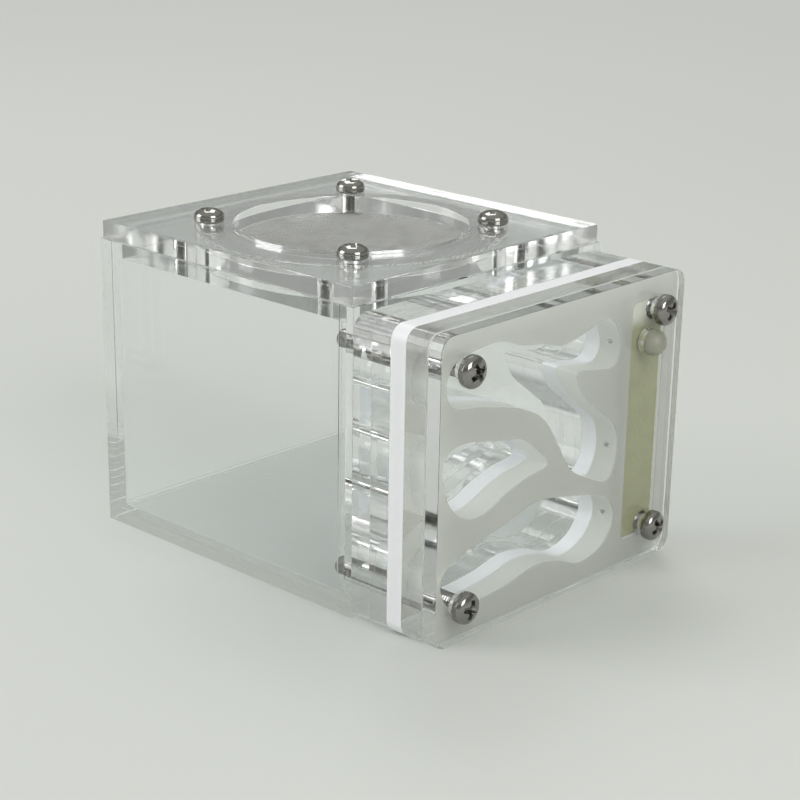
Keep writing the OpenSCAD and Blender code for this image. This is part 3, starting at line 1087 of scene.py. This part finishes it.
class HABITAT_OT_plug(Operator):
    """Mould the silicone plug: a stem and a rim with a domed top, all with soft edges"""

    bl_idname = "habitat.plug"
    bl_label = "Water Plug"

    def execute(self, context):
        settings = context.scene.habitat_plug
        plug = node_copy("water_plug")
        apply_modifier(
            plug, "BEVEL", width=settings.soft_edge, segments=2, limit_method="ANGLE",
            angle_limit=math.radians(35),
        )
        bpy.ops.object.shade_smooth_by_angle(angle=math.radians(50))
        finish_piece(
            plug, "water_plug_moulded", "plug",
            moulded_silicone(settings), "water_plug",
        )
        return {"FINISHED"}


# Stage


def lay_floor(pale):
    """Lays matt paper that fades into the backdrop's colour far from the object."""
    bpy.ops.object.select_all(action="DESELECT")
    bpy.ops.mesh.primitive_circle_add(vertices=64, radius=4, fill_type="NGON")
    floor = bpy.context.object
    floor.name = "floor"
    material, tree = new_material("matt_paper")
    place = add_node(tree, "ShaderNodeTexCoord").outputs["Object"]
    far = add_node(tree, "ShaderNodeVectorMath", operation="LENGTH", links={0: place})
    fade = add_node(
        tree, "ShaderNodeMapRange", {"From Min": 0.3, "From Max": 1.2},
        {"Value": far.outputs["Value"]},
    )
    paper = add_node(tree, "ShaderNodeBsdfPrincipled", {"Base Color": pale, "Roughness": 0.9})
    glow = add_node(tree, "ShaderNodeEmission", {"Color": pale, "Strength": 1.0})
    mix = add_node(
        tree, "ShaderNodeMixShader",
        links={0: fade.outputs[0], 1: paper.outputs[0], 2: glow.outputs[0]},
    )
    close_material(tree, mix.outputs[0])
    floor.data.materials.append(material)


def hang_sky(scene, shade):
    """Hangs a sky of the floor's shade at the horizon, dimmer between there and overhead."""
    world = bpy.data.worlds.new("soft_studio")
    scene.world = world
    world.use_nodes = True
    tree = world.node_tree
    tree.nodes.clear()
    way = add_node(tree, "ShaderNodeTexCoord").outputs["Generated"]
    parts = add_node(tree, "ShaderNodeSeparateXYZ", links={0: way})
    ramp = add_node(tree, "ShaderNodeValToRGB", links={0: parts.outputs["Z"]})
    bands = ramp.color_ramp.elements
    while len(bands) < len(SKY_LEVELS):
        bands.new(1.0)
    for band, (height, level) in zip(bands, SKY_LEVELS):
        band.position = height
        band.color = (*[level * c for c in shade], 1)
    sky = add_node(tree, "ShaderNodeBackground", {"Strength": 1.0}, {"Color": ramp.outputs[0]})
    add_node(tree, "ShaderNodeOutputWorld", links={"Surface": sky.outputs[0]})


def soft_box(name, place, size, power, aim):
    """Adds a square area light that faces the aim point."""
    bpy.ops.object.select_all(action="DESELECT")
    bpy.ops.object.light_add(type="AREA", location=place)
    lamp = bpy.context.object
    lamp.name = name
    lamp.rotation_euler = (aim - Vector(place)).to_track_quat("-Z", "Y").to_euler()
    lamp.data.shape = "SQUARE"
    lamp.data.size = size
    lamp.data.energy = power


def set_up_camera(scene, settings):
    """Sets up the camera where the photograph was taken from."""
    bpy.ops.object.select_all(action="DESELECT")
    bpy.ops.object.camera_add(location=settings.camera_place)
    camera = bpy.context.object
    turn = (
        Matrix.Rotation(-settings.camera_yaw, 3, "Z")
        @ Matrix.Rotation(math.pi / 2 - settings.camera_pitch, 3, "X")
        @ Matrix.Rotation(settings.camera_roll, 3, "Z")
    )
    camera.rotation_euler = turn.to_euler()
    camera.data.lens = settings.lens
    camera.data.shift_y = settings.rise
    camera.data.clip_start = 0.01
    camera.data.clip_end = 20
    scene.camera = camera


class HABITAT_OT_stage(Operator):
    """Set the floor, the sky, the soft lights and the camera"""

    bl_idname = "habitat.stage"
    bl_label = "Stage"

    def execute(self, context):
        scene = context.scene
        settings = scene.habitat_stage
        lay_floor((*settings.floor, 1))
        hang_sky(scene, settings.floor)
        aim = (cad_box[0] + cad_box[1]) / 2
        for name, (place, size, share) in LAMPS.items():
            soft_box(name, place, size, share * settings.key_power, aim)
        set_up_camera(scene, settings)
        scene.view_settings.view_transform = "Standard"
        # A ray that is cut short inside the stacked clear sheets would leave them dark
        scene.cycles.max_bounces = 40
        scene.cycles.transmission_bounces = 40
        scene.cycles.glossy_bounces = 16
        scene.cycles.transparent_max_bounces = 64
        return {"FINISHED"}


OPERATORS = (
    HABITAT_OT_clear_sheets,
    HABITAT_OT_white_sheet,
    HABITAT_OT_film,
    HABITAT_OT_vent_mesh,
    HABITAT_OT_lid_screws,
    HABITAT_OT_nest_screws,
    HABITAT_OT_sponge,
    HABITAT_OT_plug,
    HABITAT_OT_stage,
)


class HABITAT_PT_panel(Panel):
    """Lists the steps that make the ant habitat"""

    bl_label = "Ant Habitat"
    bl_idname = "HABITAT_PT_panel"
    bl_space_type = "VIEW_3D"
    bl_region_type = "UI"
    bl_category = "Ant Habitat"

    def draw(self, context):
        for operator in OPERATORS:
            self.layout.operator(operator.bl_idname)


def register():
    """Registers the settings, the operators and the panel."""
    for kind in (*SETTINGS.values(), *OPERATORS, HABITAT_PT_panel):
        bpy.utils.register_class(kind)
    for name, kind in SETTINGS.items():
        setattr(bpy.types.Scene, name, PointerProperty(type=kind))


def unregister():
    """Takes back what register did, in reverse."""
    for name in SETTINGS:
        delattr(bpy.types.Scene, name)
    for kind in reversed((*SETTINGS.values(), *OPERATORS, HABITAT_PT_panel)):
        bpy.utils.unregister_class(kind)


def main():
    """Runs the operators in order."""
    register()
    for operator in OPERATORS:
        step = operator.bl_idname.split(".")[1]
        getattr(bpy.ops.habitat, step)()


if __name__ == "__main__":
    main()
